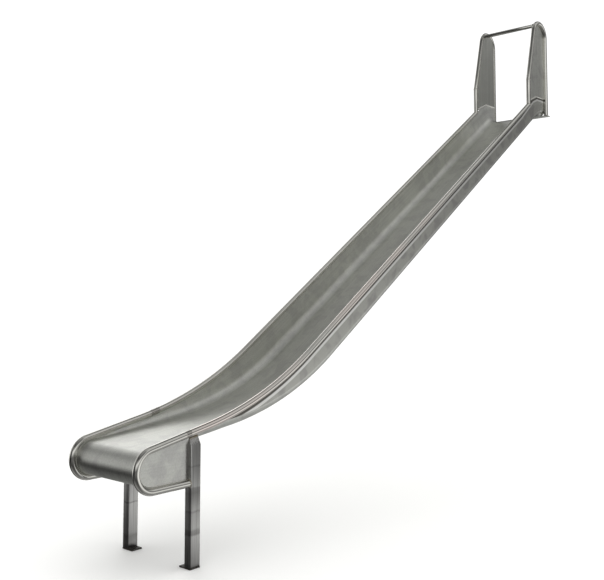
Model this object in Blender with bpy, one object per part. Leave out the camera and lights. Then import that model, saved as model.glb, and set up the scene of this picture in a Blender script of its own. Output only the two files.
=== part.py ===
# Playground slide in stainless steel, in metres.
# X runs uphill towards the platform, Y across the chute, Z up.
# The origin lies on the underside of the hook flange, between the rear uprights.

import math

import bmesh
import bpy
from mathutils import Matrix

# Driving dimensions
RAIL_SPACING = 0.540
RAIL_RADIUS = 0.019
CROSSBAR_RADIUS = 0.017
SHEET = 0.003
WALL_INSET = 0.010
GAP = 0.0003

FOOT_DROP = 3.086
SLOPE_ANGLE = math.radians(34.2)
SLOPE_LENGTH = 4.155
RAIL_RUNOUT_ANGLE = math.radians(10.9)
RAIL_BEND_RADIUS = 2.24
RUNOUT_LENGTH = 0.827
LOOP_RADIUS = 0.104

CHUTE_DEPTH = 0.180
COVE_RADIUS = 0.040
BED_RUNOUT_ANGLE = math.radians(6.0)
BED_EXIT_DEPTH = 0.0155
BED_BEND_RADIUS = 2.02
CREST_RADIUS = 0.20
DECK_ANGLE = math.radians(3.0)
NOSE_LIP = 0.020

FRONT_UPRIGHT_X = -0.363
MITRE_Z = 0.047
KINK_Z = 0.276
TOP_BEND_RADIUS = 0.120
CHEEK_TOP_Z = 0.858
CROSSBAR_ANGLE = math.radians(137.7)
BEAD_RADIUS = 0.009
BEAD_START_Z = 0.085
BEAD_CORNER = (-0.180, 0.155)
BEAD_END_Z = 0.158

FLANGE_THICKNESS = 0.006
FLANGE_REACH = 0.047

LEG_X = -4.323
LEG_DEPTH = 0.068
LEG_WIDTH = 0.048
LEG_GABLE = 0.033
FOOT_THICKNESS = 0.008
FOOT_OVERHANG = 0.038

TUBE_SIDES = 20
COVE_STEPS = 5
BEND_STEPS = 14
LOOP_STEPS = 18
WALL_TIP_SETBACK = 0.010

# Sizes that follow from the driving dimensions
rail_y = RAIL_SPACING / 2
wall_y = rail_y - WALL_INSET
wall_outer_y = wall_y + SHEET / 2
wall_clear = math.sqrt(RAIL_RADIUS ** 2 - (rail_y - wall_outer_y) ** 2) + GAP
flat_half = rail_y - math.sqrt(RAIL_RADIUS ** 2 - (BED_EXIT_DEPTH - SHEET) ** 2) - GAP
leg_front_x = LEG_X - LEG_DEPTH / 2
leg_back_x = LEG_X + LEG_DEPTH / 2


def offset(point, angle, along, across=0.0):
    """Moves a point of the XZ plane along a direction and to its left."""
    return (
        point[0] + along * math.cos(angle) - across * math.sin(angle),
        point[1] + along * math.sin(angle) + across * math.cos(angle),
    )


def meet(point_a, angle_a, point_b, angle_b):
    """Point where two lines of the XZ plane cross."""
    dx, dz = point_b[0] - point_a[0], point_b[1] - point_a[1]
    turn = math.sin(angle_b - angle_a)
    along = (dx * math.sin(angle_b) - dz * math.cos(angle_b)) / turn
    return offset(point_a, angle_a, along)


def fillet(corner, angle_in, angle_out, radius, steps):
    """Stations (x, z, angle) round the arc that joins two lines."""
    turn = angle_out - angle_in
    side = 1 if turn > 0 else -1
    tangent = radius * math.tan(abs(turn) / 2)
    start = offset(corner, angle_in, -tangent)
    centre = offset(start, angle_in, 0, side * radius)
    stations = []
    for step in range(steps + 1):
        angle = angle_in + turn * step / steps
        x, z = offset(centre, angle, 0, -side * radius)
        stations.append((x, z, angle))
    return stations


def arc(centre, radius, start, end, steps):
    """Stations round a circle from one polar angle to another."""
    stations = []
    side = 1 if end > start else -1
    for step in range(steps + 1):
        polar = start + (end - start) * step / steps
        x = centre[0] + radius * math.cos(polar)
        z = centre[1] + radius * math.sin(polar)
        stations.append((x, z, polar + side * math.pi / 2))
    return stations


def trimmed(stations, start=GAP / 2, end=GAP / 2):
    """The same stations with the two end ones drawn in by half a gap."""
    first, last = stations[0], stations[-1]
    stations = list(stations)
    stations[0] = offset(first, first[2], start) + (first[2],)
    stations[-1] = offset(last, last[2], -end) + (last[2],)
    return stations


# Rail path
mitre = (FRONT_UPRIGHT_X, MITRE_Z)
rail_corner = offset(mitre, SLOPE_ANGLE, -SLOPE_LENGTH)
rail_bend = fillet(rail_corner, RAIL_RUNOUT_ANGLE, SLOPE_ANGLE, RAIL_BEND_RADIUS, BEND_STEPS)
loop_top = offset(rail_corner, RAIL_RUNOUT_ANGLE, -RUNOUT_LENGTH)
loop_centre = offset(loop_top, RAIL_RUNOUT_ANGLE, 0, -LOOP_RADIUS)
loop_bottom = (loop_centre[0], loop_centre[1] - LOOP_RADIUS)

# Bed path, along the underside of the sheet
bed_exit = offset(loop_top, RAIL_RUNOUT_ANGLE, 0, -BED_EXIT_DEPTH)
bed_slope_point = offset(mitre, SLOPE_ANGLE, 0, -CHUTE_DEPTH)
bed_corner = meet(bed_exit, BED_RUNOUT_ANGLE, bed_slope_point, SLOPE_ANGLE)
bed_bend = fillet(bed_corner, BED_RUNOUT_ANGLE, SLOPE_ANGLE, BED_BEND_RADIUS, BEND_STEPS)
nose_top = meet(bed_exit, BED_RUNOUT_ANGLE, loop_centre, BED_RUNOUT_ANGLE + math.pi / 2)
deck_end = (-RAIL_RADIUS - 2 * GAP, FLANGE_THICKNESS / 2 - SHEET / 2)
crest_corner = meet(bed_slope_point, SLOPE_ANGLE, deck_end, DECK_ANGLE)
crest_bend = fillet(crest_corner, SLOPE_ANGLE, DECK_ANGLE, CREST_RADIUS, 8)


def rail_height(x):
    """Height of the rail's centre line over the chute."""
    start, end = rail_bend[0], rail_bend[-1]
    if x <= start[0]:
        return start[1] + (x - start[0]) * math.tan(RAIL_RUNOUT_ANGLE)
    if x >= end[0]:
        return end[1] + (x - end[0]) * math.tan(SLOPE_ANGLE)
    centre = offset(start, RAIL_RUNOUT_ANGLE, 0, RAIL_BEND_RADIUS)
    return centre[1] - math.sqrt(RAIL_BEND_RADIUS ** 2 - (x - centre[0]) ** 2)


def rail_distance(station):
    """Distance from the bed's underside to the rail's centre line, square to the bed."""
    x, z, angle = station
    distance = CHUTE_DEPTH
    for _ in range(8):
        reach = x - distance * math.sin(angle)
        distance = (rail_height(reach) - z) / math.cos(angle)
    return distance


def cove_radius(station):
    """Outer radius of the fold between the bed and its side."""
    return min(COVE_RADIUS, rail_distance(station) - wall_clear - GAP)


def fold_station():
    """Station of the run-out bed where the fold to its side reaches full radius."""
    low, high = leg_front_x, bed_bend[0][0]
    while high - low > GAP:
        middle = (low + high) / 2
        station = on_bed_runout(middle) + (BED_RUNOUT_ANGLE,)
        if rail_distance(station) < COVE_RADIUS + wall_clear + GAP:
            low = middle
        else:
            high = middle
    return on_bed_runout(high) + (BED_RUNOUT_ANGLE,)


def make_material(name, colour, roughness):
    material = bpy.data.materials.new(name)
    material.use_nodes = True
    shader = material.node_tree.nodes["Principled BSDF"]
    shader.inputs["Base Color"].default_value = (*colour, 1)
    shader.inputs["Metallic"].default_value = 1.0
    shader.inputs["Roughness"].default_value = roughness
    return material


def add_object(name, mesh_data, material, smooth=True):
    """Turns a bmesh into a named object with outward faces."""
    bmesh.ops.recalc_face_normals(mesh_data, faces=mesh_data.faces)
    mesh = bpy.data.meshes.new(name)
    mesh_data.to_mesh(mesh)
    mesh_data.free()
    mesh.materials.append(material)
    part = bpy.data.objects.new(name, mesh)
    bpy.context.scene.collection.objects.link(part)
    if smooth:
        mesh.shade_smooth()
        mesh.set_sharp_from_angle(angle=math.radians(30))
    return part


def skin_rings(mesh_data, rings):
    """Joins rings of vertices with four-sided faces."""
    for ring, following in zip(rings, rings[1:]):
        count = len(ring)
        for i in range(count):
            j = (i + 1) % count
            mesh_data.faces.new((ring[i], ring[j], following[j], following[i]))


def end_cut(stations, index, cuts):
    """Facing of a section, and how far a slanting cut stretches it."""
    angle = stations[index][2]
    facing = angle
    if cuts and index == 0:
        facing = cuts.get("start", angle)
    if cuts and index == len(stations) - 1:
        facing = cuts.get("end", angle)
    return facing, 1 / math.cos(facing - angle)


def add_tube(name, stations, y, radius, material, cuts=None):
    """Round bar along XZ stations; cuts give the facing of an end plane."""
    mesh_data = bmesh.new()
    rings = []
    for index, (x, z, angle) in enumerate(stations):
        facing, stretch = end_cut(stations, index, cuts)
        ring = []
        for side in range(TUBE_SIDES):
            turn = 2 * math.pi * side / TUBE_SIDES
            px, pz = offset((x, z), facing, 0, radius * stretch * math.cos(turn))
            ring.append(mesh_data.verts.new((px, y + radius * math.sin(turn), pz)))
        rings.append(ring)
    skin_rings(mesh_data, rings)
    mesh_data.faces.new(rings[0])
    mesh_data.faces.new(rings[-1])
    return add_object(name, mesh_data, material)


def add_plate(name, outline, y, thickness, material):
    """Flat plate that stands in an XZ plane."""
    mesh_data = bmesh.new()
    near = [mesh_data.verts.new((x, y - thickness / 2, z)) for x, z in outline]
    far = [mesh_data.verts.new((x, y + thickness / 2, z)) for x, z in outline]
    skin_rings(mesh_data, [near, far])
    mesh_data.faces.new(near)
    mesh_data.faces.new(far)
    return add_object(name, mesh_data, material, smooth=False)


def add_box(name, low, high, material):
    mesh_data = bmesh.new()
    bmesh.ops.create_cube(mesh_data, size=1)
    for vertex in mesh_data.verts:
        for axis in range(3):
            middle = (low[axis] + high[axis]) / 2
            vertex.co[axis] = middle + vertex.co[axis] * (high[axis] - low[axis])
    return add_object(name, mesh_data, material, smooth=False)


def tray_section(station, coved):
    """Lower and upper points (y, height) across the bed sheet."""
    if not coved:
        return [(-flat_half, 0), (flat_half, 0)], [(-flat_half, SHEET), (flat_half, SHEET)]
    radius = cove_radius(station)
    lower, upper = [], []
    for side in (-1, 1):
        steps = range(COVE_STEPS + 1) if side < 0 else range(COVE_STEPS, -1, -1)
        for step in steps:
            turn = math.pi / 2 * step / COVE_STEPS
            for points, bend in ((lower, radius), (upper, radius - SHEET)):
                y = wall_outer_y - radius + bend * math.cos(turn)
                points.append((side * y, radius - bend * math.sin(turn)))
    return lower, upper


def add_bed(name, stations, material, coved=True, cuts=None):
    """Bed sheet swept along its stations."""
    mesh_data = bmesh.new()
    rings, splits = [], []
    for index, station in enumerate(stations):
        facing, stretch = end_cut(stations, index, cuts)
        lower, upper = tray_section(station, coved)
        ring = []
        for y, height in lower + upper[::-1]:
            px, pz = offset(station, facing, 0, height * stretch)
            ring.append(mesh_data.verts.new((px, y, pz)))
        rings.append(ring)
        splits.append(len(lower))
    skin_rings(mesh_data, rings)
    for ring, count in ((rings[0], splits[0]), (rings[-1], splits[-1])):
        upper = ring[count:][::-1]
        for i in range(count - 1):
            mesh_data.faces.new((ring[i], ring[i + 1], upper[i + 1], upper[i]))
    return add_object(name, mesh_data, material)


def straight(start, end, angle, steps=1):
    """Stations along a straight line."""
    stations = []
    for step in range(steps + 1):
        share = step / steps
        x = start[0] + (end[0] - start[0]) * share
        z = start[1] + (end[1] - start[1]) * share
        stations.append((x, z, angle))
    return stations


def on_bed_runout(x):
    return (x, bed_exit[1] + (x - bed_exit[0]) * math.tan(BED_RUNOUT_ANGLE))


def build_bed(material):
    leg_line = on_bed_runout(leg_front_x)
    apron = straight(nose_top, leg_line, BED_RUNOUT_ANGLE)
    add_bed("exit_apron", trimmed(apron), material, coved=False)

    fold = fold_station()
    runout = straight(leg_line, fold, BED_RUNOUT_ANGLE, 2) + [bed_bend[0]]
    add_bed("bed_runout", trimmed(runout), material, cuts={"start": 0.0})
    add_bed("bed_lower_bend", trimmed(bed_bend), material)
    slope = straight(bed_bend[-1], crest_bend[0], SLOPE_ANGLE)
    add_bed("bed_slope", trimmed(slope), material)
    add_bed("bed_crest", trimmed(crest_bend), material)
    deck = straight(crest_bend[-1], deck_end, DECK_ANGLE)
    add_bed("start_deck", trimmed(deck, end=0), material)


def build_nose(material):
    """Rolled front between the two loops, with a short lip under it."""
    radius = math.dist(nose_top, loop_centre)
    top = BED_RUNOUT_ANGLE + math.pi / 2
    rolled = arc(loop_centre, radius, 3 * math.pi / 2, top, LOOP_STEPS)
    lip_end = (loop_centre[0] + NOSE_LIP, loop_centre[1] - radius, math.pi)
    add_bed("exit_nose", [lip_end] + trimmed(rolled, start=0), material, coved=False)


def wall_bottom(stations):
    """Lower edge of a wall, just above the fold of the bed."""
    edge = []
    for station in stations:
        x, z, angle = station
        edge.append(offset((x, z), angle, 0, cove_radius(station) + GAP))
    return edge


def rail_underside(stations):
    return [offset(station, station[2], 0, -wall_clear) for station in stations]


def height_on(line, x):
    """Height at x on a line of points."""
    for first, second in zip(line, line[1:]):
        if first[0] <= x <= second[0]:
            share = (x - first[0]) / (second[0] - first[0])
            return first[1] + share * (second[1] - first[1])


def bead_line():
    """Centre line of the folded bead across a cheek."""
    start = (FRONT_UPRIGHT_X + RAIL_RADIUS + GAP, BEAD_START_Z)
    end = (-RAIL_RADIUS - GAP, BEAD_END_Z)
    return start, BEAD_CORNER, end


def heading(start, end):
    return math.atan2(end[1] - start[1], end[0] - start[0])


def bead_edge(distance):
    """Line at one side of the bead, at a distance from its centre."""
    start, corner, end = bead_line()
    rise, level = heading(start, corner), heading(corner, end)
    low = offset(start, rise, 0, distance)
    high = offset(corner, level, 0, distance)
    first = meet(low, rise, (FRONT_UPRIGHT_X + wall_clear, 0), math.pi / 2)
    last = meet(high, level, (-wall_clear, 0), math.pi / 2)
    return [first, meet(low, rise, high, level), last]


def build_walls(prefix, side, material):
    y = side * wall_y
    start_x = FRONT_UPRIGHT_X + wall_clear

    bottom = wall_bottom(trimmed([fold_station()] + bed_bend, start=0))
    line = rail_underside([loop_top + (RAIL_RUNOUT_ANGLE,)] + rail_bend)
    low_x = bottom[0][0] + WALL_TIP_SETBACK
    bottom[0] = (low_x, height_on(bottom, low_x))
    top = [point for point in line if low_x < point[0] < bottom[-1][0]]
    low_top = (low_x, height_on(line, low_x))
    high_top = offset(bed_bend[-1], SLOPE_ANGLE, -GAP / 2, CHUTE_DEPTH - wall_clear)
    add_plate(f"{prefix}_wall_lower", bottom + [high_top] + top[::-1] + [low_top], y, SHEET, material)

    low = offset(bed_bend[-1], SLOPE_ANGLE, GAP / 2, COVE_RADIUS + GAP)
    low_top = offset(bed_bend[-1], SLOPE_ANGLE, GAP / 2, CHUTE_DEPTH - wall_clear)
    run = (start_x - GAP - low[0]) / math.cos(SLOPE_ANGLE)
    top_run = (start_x - GAP - low_top[0]) / math.cos(SLOPE_ANGLE)
    high = offset(low, SLOPE_ANGLE, run)
    high_top = offset(low_top, SLOPE_ANGLE, top_run)
    add_plate(f"{prefix}_wall_slope", [low, high, high_top, low_top], y, SHEET, material)

    crest = [offset(station, station[2], 0, COVE_RADIUS + GAP) for station in crest_bend]
    first = (start_x, high[1] + (start_x - high[0]) * math.tan(SLOPE_ANGLE))
    lower = [first] + [point for point in crest if point[0] > start_x + GAP]
    last = offset(deck_end, DECK_ANGLE, 0, COVE_RADIUS + GAP)
    run = (-wall_clear - last[0]) / math.cos(DECK_ANGLE)
    lower.append(offset(last, DECK_ANGLE, run))
    upper = bead_edge(-BEAD_RADIUS - GAP)
    add_plate(f"{prefix}_wall_start", lower + upper[::-1], y, SHEET, material)


def build_rails(prefix, side, material):
    y = side * rail_y
    back = straight((leg_front_x - GAP, loop_bottom[1]), loop_bottom, math.pi)
    add_tube(f"{prefix}_underside_tube", trimmed(back, start=0), y, RAIL_RADIUS, material)
    top = RAIL_RUNOUT_ANGLE + math.pi / 2
    loop = arc(loop_centre, LOOP_RADIUS, 3 * math.pi / 2, top, LOOP_STEPS)
    add_tube(f"{prefix}_exit_loop", trimmed(loop), y, RAIL_RADIUS, material)
    runout = straight(loop_top, rail_bend[0], RAIL_RUNOUT_ANGLE)
    add_tube(f"{prefix}_rail_runout", trimmed(runout), y, RAIL_RADIUS, material)
    add_tube(f"{prefix}_rail_bend", trimmed(rail_bend), y, RAIL_RADIUS, material)
    slope = straight(rail_bend[-1], mitre, SLOPE_ANGLE)
    cut = (SLOPE_ANGLE + math.pi / 2) / 2
    add_tube(f"{prefix}_rail_slope", trimmed(slope), y, RAIL_RADIUS, material, {"end": cut})


def cheek_lines():
    """Centre and first polar angle of a cheek's top bend, and the lean of the tube that meets it."""
    centre = (-TOP_BEND_RADIUS, CHEEK_TOP_Z - TOP_BEND_RADIUS)
    kink = (FRONT_UPRIGHT_X, KINK_Z)
    lean = heading(kink, centre) + math.asin(TOP_BEND_RADIUS / math.dist(kink, centre))
    return centre, kink, lean, lean + math.pi / 2


def build_cheek(prefix, side, material, plate_material):
    y = side * rail_y
    centre, kink, lean, start = cheek_lines()
    bend = arc(centre, TOP_BEND_RADIUS, start, 0, BEND_STEPS)
    foot = (0.0, FLANGE_THICKNESS + GAP)

    front = straight(mitre, kink, math.pi / 2)
    cuts = {"start": (SLOPE_ANGLE + math.pi / 2) / 2, "end": (lean + math.pi / 2) / 2}
    add_tube(f"{prefix}_front_upright", trimmed(front), y, RAIL_RADIUS, material, cuts)
    leaning = straight(kink, bend[0], lean)
    cuts = {"start": (lean + math.pi / 2) / 2}
    add_tube(f"{prefix}_leaning_tube", trimmed(leaning), y, RAIL_RADIUS, material, cuts)
    add_tube(f"{prefix}_top_bend", trimmed(bend), y, RAIL_RADIUS, material)
    rear = straight((0.0, centre[1]), foot, -math.pi / 2)
    add_tube(f"{prefix}_rear_upright", trimmed(rear, end=0), y, RAIL_RADIUS, material)

    begin, corner, end = bead_line()
    rise, level = heading(begin, corner), heading(corner, end)
    bead = [begin + (rise,), corner + ((rise + level) / 2,), end + (level,)]
    add_tube(f"{prefix}_cheek_bead", bead, side * wall_y, BEAD_RADIUS, material, {"start": 0.0, "end": 0.0})

    edge = bead_edge(BEAD_RADIUS + GAP)
    inner_lean = offset(kink, lean, 0, -wall_clear)
    inner_kink = meet(edge[0], math.pi / 2, inner_lean, lean)
    inner_bend = arc(centre, TOP_BEND_RADIUS - wall_clear, start, 0, BEND_STEPS)
    outline = edge + [(x, z) for x, z, _ in inner_bend[::-1]] + [inner_kink]
    add_plate(f"{prefix}_cheek_plate", outline, side * wall_y, SHEET, plate_material)


def build_crossbar(material):
    centre = cheek_lines()[0]
    x = centre[0] + TOP_BEND_RADIUS * math.cos(CROSSBAR_ANGLE)
    z = centre[1] + TOP_BEND_RADIUS * math.sin(CROSSBAR_ANGLE)
    half = rail_y - RAIL_RADIUS - GAP
    mesh_data = bmesh.new()
    bmesh.ops.create_cone(
        mesh_data, cap_ends=True, segments=TUBE_SIDES,
        radius1=CROSSBAR_RADIUS, radius2=CROSSBAR_RADIUS, depth=2 * half,
        matrix=Matrix.Translation((x, 0, z)) @ Matrix.Rotation(math.pi / 2, 4, "X"),
    )
    add_object("crossbar", mesh_data, material)


def build_flange(material):
    front = -RAIL_RADIUS - GAP
    half = rail_y + RAIL_RADIUS
    add_box("hook_flange", (front, -half, 0), (FLANGE_REACH, half, FLANGE_THICKNESS), material)


def build_loop_plate(prefix, side, material):
    """Plate that fills the loop from its front to the leg."""
    radius = LOOP_RADIUS - wall_clear
    top = RAIL_RUNOUT_ANGLE + math.pi / 2
    curve = arc(loop_centre, radius, 3 * math.pi / 2, top, LOOP_STEPS)
    outline = [(x, z) for x, z, _ in curve]
    end_x = leg_front_x - GAP
    first = outline[-1]
    outline.append((end_x, first[1] + (end_x - first[0]) * math.tan(RAIL_RUNOUT_ANGLE)))
    outline.append((end_x, loop_centre[1] - radius))
    add_plate(f"{prefix}_loop_plate", outline, side * wall_y, SHEET, material)


def ridge_height(x):
    """Height at which a leg's inner chamfer just clears the fold of the bed."""
    station = on_bed_runout(x) + (BED_RUNOUT_ANGLE,)
    radius = cove_radius(station)
    chamfer = math.atan2(LEG_GABLE, LEG_WIDTH / 2)
    inboard = radius - SHEET / 2
    drop = (radius + 2 * GAP - inboard * math.sin(chamfer)) / math.cos(chamfer)
    return station[1] + radius - drop


def build_leg(prefix, side, material, plate_material):
    bottom = -FOOT_DROP
    outer = wall_y + LEG_WIDTH / 2
    inner = wall_y - LEG_WIDTH / 2
    shoulder = ridge_height(leg_front_x) - LEG_GABLE
    base = bottom + FOOT_THICKNESS + GAP
    mesh_data = bmesh.new()
    rings = []
    for x in (leg_front_x, leg_back_x):
        ridge = ridge_height(x)
        section = [(inner, base), (outer, base), (outer, shoulder), (wall_y, ridge), (inner, shoulder)]
        rings.append([mesh_data.verts.new((x, side * y, z)) for y, z in section])
    skin_rings(mesh_data, rings)
    mesh_data.faces.new(rings[0])
    mesh_data.faces.new(rings[1])
    add_object(f"{prefix}_leg", mesh_data, material, smooth=False)

    reach = inner - FOOT_OVERHANG
    low = (leg_front_x, min(side * outer, side * reach), bottom)
    high = (leg_back_x, max(side * outer, side * reach), bottom + FOOT_THICKNESS)
    add_box(f"{prefix}_foot_plate", low, high, plate_material)


def build_slide():
    sheet = make_material("brushed_sheet", (0.40, 0.40, 0.37), 0.38)
    tube = make_material("polished_tube", (0.55, 0.55, 0.52), 0.22)
    leg = make_material("brushed_leg", (0.42, 0.42, 0.41), 0.35)
    build_bed(sheet)
    build_nose(sheet)
    for prefix, side in (("right", -1), ("left", 1)):
        build_walls(prefix, side, sheet)
        build_rails(prefix, side, tube)
        build_cheek(prefix, side, tube, sheet)
        build_loop_plate(prefix, side, sheet)
        build_leg(prefix, side, leg, leg)
    build_crossbar(tube)
    build_flange(leg)


for old in list(bpy.data.objects):
    bpy.data.objects.remove(old, do_unlink=True)
build_slide()
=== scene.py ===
import math

import bmesh
import bpy
import numpy as np
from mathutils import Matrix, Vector


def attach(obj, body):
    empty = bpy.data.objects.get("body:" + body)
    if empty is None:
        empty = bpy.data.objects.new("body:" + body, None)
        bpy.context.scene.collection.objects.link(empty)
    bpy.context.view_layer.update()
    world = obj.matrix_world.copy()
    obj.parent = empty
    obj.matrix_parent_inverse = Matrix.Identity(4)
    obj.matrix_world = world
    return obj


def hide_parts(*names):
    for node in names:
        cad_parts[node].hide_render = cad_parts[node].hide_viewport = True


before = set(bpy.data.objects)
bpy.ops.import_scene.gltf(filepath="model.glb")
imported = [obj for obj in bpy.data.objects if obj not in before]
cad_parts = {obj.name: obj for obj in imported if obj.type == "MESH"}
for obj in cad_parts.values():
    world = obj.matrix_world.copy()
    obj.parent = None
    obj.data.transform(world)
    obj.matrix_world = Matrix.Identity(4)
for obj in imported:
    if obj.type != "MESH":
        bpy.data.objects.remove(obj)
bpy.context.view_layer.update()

scene = bpy.context.scene
upright = math.pi / 2

# The slide's lines in its side view, in metres and radians, as the solids have them
lines = {
    "railY": 0.270, "railRadius": 0.019, "wallY": 0.260, "sheet": 0.003,
    "slope": math.radians(34.2), "slopeLength": 4.155,
    "railRunout": math.radians(10.9), "railBendRadius": 2.24, "runoutLength": 0.827,
    "loopRadius": 0.104,
    "chuteDepth": 0.180, "bedRunout": math.radians(6.0), "bedExitDepth": 0.0155,
    "bedBendRadius": 2.02, "crestRadius": 0.20, "deck": math.radians(3.0), "deckEnd": (-0.0196, 0.0015),
    "frontX": -0.363, "mitreZ": 0.047, "kinkZ": 0.276,
    "topBendRadius": 0.120, "topZ": 0.858,
    "beadStart": (-0.344, 0.085), "beadCorner": (-0.180, 0.155), "beadEnd": (-0.019, 0.158),
    "legX": -4.323, "legDepth": 0.068, "legWidth": 0.048, "footZ": -3.086,
}


def shift(point, angle, ahead, aside=0.0):
    return (point[0] + ahead * math.cos(angle) - aside * math.sin(angle),
            point[1] + ahead * math.sin(angle) + aside * math.cos(angle))


def toward(angle):    # unit vector at an angle in the side view
    return Vector((math.cos(angle), 0, math.sin(angle)))


def crossing(pointA, angleA, pointB, angleB):
    dx, dz = pointB[0] - pointA[0], pointB[1] - pointA[1]
    ahead = (dx * math.sin(angleB) - dz * math.cos(angleB)) / math.sin(angleB - angleA)
    return shift(pointA, angleA, ahead)


def between(pointA, pointB, share):
    return (pointA[0] + (pointB[0] - pointA[0]) * share, pointA[1] + (pointB[1] - pointA[1]) * share)


def bendPoints(corner, angleIn, angleOut, radius):    # start, end and centre of a bend
    turn = angleOut - angleIn
    side = 1 if turn > 0 else -1
    start = shift(corner, angleIn, -radius * math.tan(abs(turn) / 2))
    centre = shift(start, angleIn, 0, side * radius)
    return start, shift(centre, angleOut, 0, -side * radius), centre


def arcPoints(centre, radius, first, last, steps):
    return [(centre[0] + radius * math.cos(first + (last - first) * i / steps),
             centre[1] + radius * math.sin(first + (last - first) * i / steps)) for i in range(steps + 1)]


mitre = (lines["frontX"], lines["mitreZ"])
railCorner = shift(mitre, lines["slope"], -lines["slopeLength"])
railLow, railHigh, railCentre = bendPoints(railCorner, lines["railRunout"], lines["slope"], lines["railBendRadius"])
loopTop = shift(railCorner, lines["railRunout"], -lines["runoutLength"])
loopCentre = shift(loopTop, lines["railRunout"], 0, -lines["loopRadius"])
loopBottom = (loopCentre[0], loopCentre[1] - lines["loopRadius"])

bedExit = shift(loopTop, lines["railRunout"], 0, -lines["bedExitDepth"])
bedPoint = shift(mitre, lines["slope"], 0, -lines["chuteDepth"])
bedCorner = crossing(bedExit, lines["bedRunout"], bedPoint, lines["slope"])
bedLow, bedHigh, bedCentre = bendPoints(bedCorner, lines["bedRunout"], lines["slope"], lines["bedBendRadius"])
noseTop = crossing(bedExit, lines["bedRunout"], loopCentre, lines["bedRunout"] + upright)
noseRadius = math.dist(noseTop, loopCentre)
deckEnd = lines["deckEnd"]
crestCorner = crossing(bedPoint, lines["slope"], deckEnd, lines["deck"])
crestLow, crestHigh, crestCentre = bendPoints(crestCorner, lines["slope"], lines["deck"], lines["crestRadius"])

topCentre = (-lines["topBendRadius"], lines["topZ"] - lines["topBendRadius"])
kink = (lines["frontX"], lines["kinkZ"])
lean = (math.atan2(topCentre[1] - kink[1], topCentre[0] - kink[0])
        + math.asin(lines["topBendRadius"] / math.dist(kink, topCentre)))
topStart = shift(topCentre, lean, 0, lines["topBendRadius"])

legFront = lines["legX"] - lines["legDepth"] / 2
legBack = lines["legX"] + lines["legDepth"] / 2
legOuter = lines["wallY"] + lines["legWidth"] / 2
legInner = lines["wallY"] - lines["legWidth"] / 2
joinWithin = 0.00005    # metres within which points become one


def deselectAll():
    for piece in bpy.context.selected_objects:
        piece.select_set(False)


def nameIt(name):    # names the primitive just added and puts its place into its mesh
    piece = bpy.context.active_object
    piece.name = piece.data.name = name
    bpy.ops.object.transform_apply(location=True, rotation=True, scale=True)
    return piece


def activate(piece):
    deselectAll()
    piece.select_set(True)
    bpy.context.view_layer.objects.active = piece


def editOn():    # opens the active mesh with everything selected
    bpy.ops.object.mode_set(mode="EDIT")
    bpy.ops.mesh.select_all(action="SELECT")


def editOff():
    bpy.ops.object.mode_set(mode="OBJECT")


def pick(kind, test):    # selects the vertices, edges or faces whose corners all pass
    bpy.ops.mesh.select_mode(type=kind)
    bpy.ops.mesh.select_all(action="DESELECT")
    mesh = bmesh.from_edit_mesh(bpy.context.active_object.data)
    if kind == "VERT":
        for vert in mesh.verts:
            vert.select_set(test(vert.co))
    else:
        for part in (mesh.edges if kind == "EDGE" else mesh.faces):
            part.select_set(all(test(vert.co) for vert in part.verts))
    mesh.select_flush_mode()
    bmesh.update_edit_mesh(bpy.context.active_object.data)


def push(dx, dz, dy=0.0):    # extrudes what is selected
    bpy.ops.mesh.extrude_region_move(TRANSFORM_OT_translate={"value": (dx, dy, dz)})


def run(start, end, steps=1):    # extrudes along a straight line of the side view
    for _ in range(steps):
        push((end[0] - start[0]) / steps, (end[1] - start[1]) / steps)


def bend(centre, turn, steps):    # spins what is selected, a positive turn goes from +X to +Z
    bpy.ops.mesh.spin(steps=steps, angle=turn, center=(centre[0], 0, centre[1]), axis=(0, 1, 0))


def tilt(point, turn):    # turns what is selected in place, from +X to +Z
    bpy.ops.transform.rotate(value=turn, orient_axis="Y", orient_type="GLOBAL",
                             center_override=(point[0], 0, point[1]))


def move(dx, dz, dy=0.0):
    bpy.ops.transform.translate(value=(dx, dy, dz))


def scale(x, y, z, point):
    bpy.ops.transform.resize(value=(x, y, z), orient_type="GLOBAL", center_override=point)


def cleanUp(fill=True):    # closes the ends, turns the faces outwards and leaves edit mode
    bpy.ops.mesh.select_mode(type="VERT")
    bpy.ops.mesh.select_all(action="SELECT")
    bpy.ops.mesh.remove_doubles(threshold=joinWithin)
    if fill:
        bpy.ops.mesh.fill_holes(sides=0)
    bpy.ops.mesh.select_all(action="SELECT")
    bpy.ops.mesh.normals_make_consistent(inside=False)
    editOff()


def smooth(piece, degrees=30):
    activate(piece)
    bpy.ops.object.shade_smooth_by_angle(angle=math.radians(degrees))
    return piece


def modify(piece, kind, **settings):
    activate(piece)
    modifier = piece.modifiers.new(kind, kind)
    for setting, value in settings.items():
        setattr(modifier, setting, value)
    bpy.ops.object.modifier_apply(modifier=modifier.name)


def copyAcross(piece, name):    # mirror twin on the other side of the chute, with its own mesh
    activate(piece)
    bpy.ops.object.duplicate(linked=False)
    bpy.ops.transform.resize(value=(1, -1, 1), center_override=(0, 0, 0))
    twin = nameIt(name)
    editOn()
    bpy.ops.mesh.normals_make_consistent(inside=False)
    editOff()
    return twin


def join(pieces):
    deselectAll()
    for piece in pieces:
        piece.select_set(True)
    bpy.context.view_layer.objects.active = pieces[0]
    bpy.ops.object.join()
    return bpy.context.active_object


def ring(place, angle, radius, sides, y=0.0):    # open ring of a tube that heads along an angle
    deselectAll()
    bpy.ops.mesh.primitive_circle_add(vertices=sides, radius=radius, location=(place[0], y, place[1]),
                                      rotation=(0, upright - angle, 0), fill_type="NOTHING")


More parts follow.
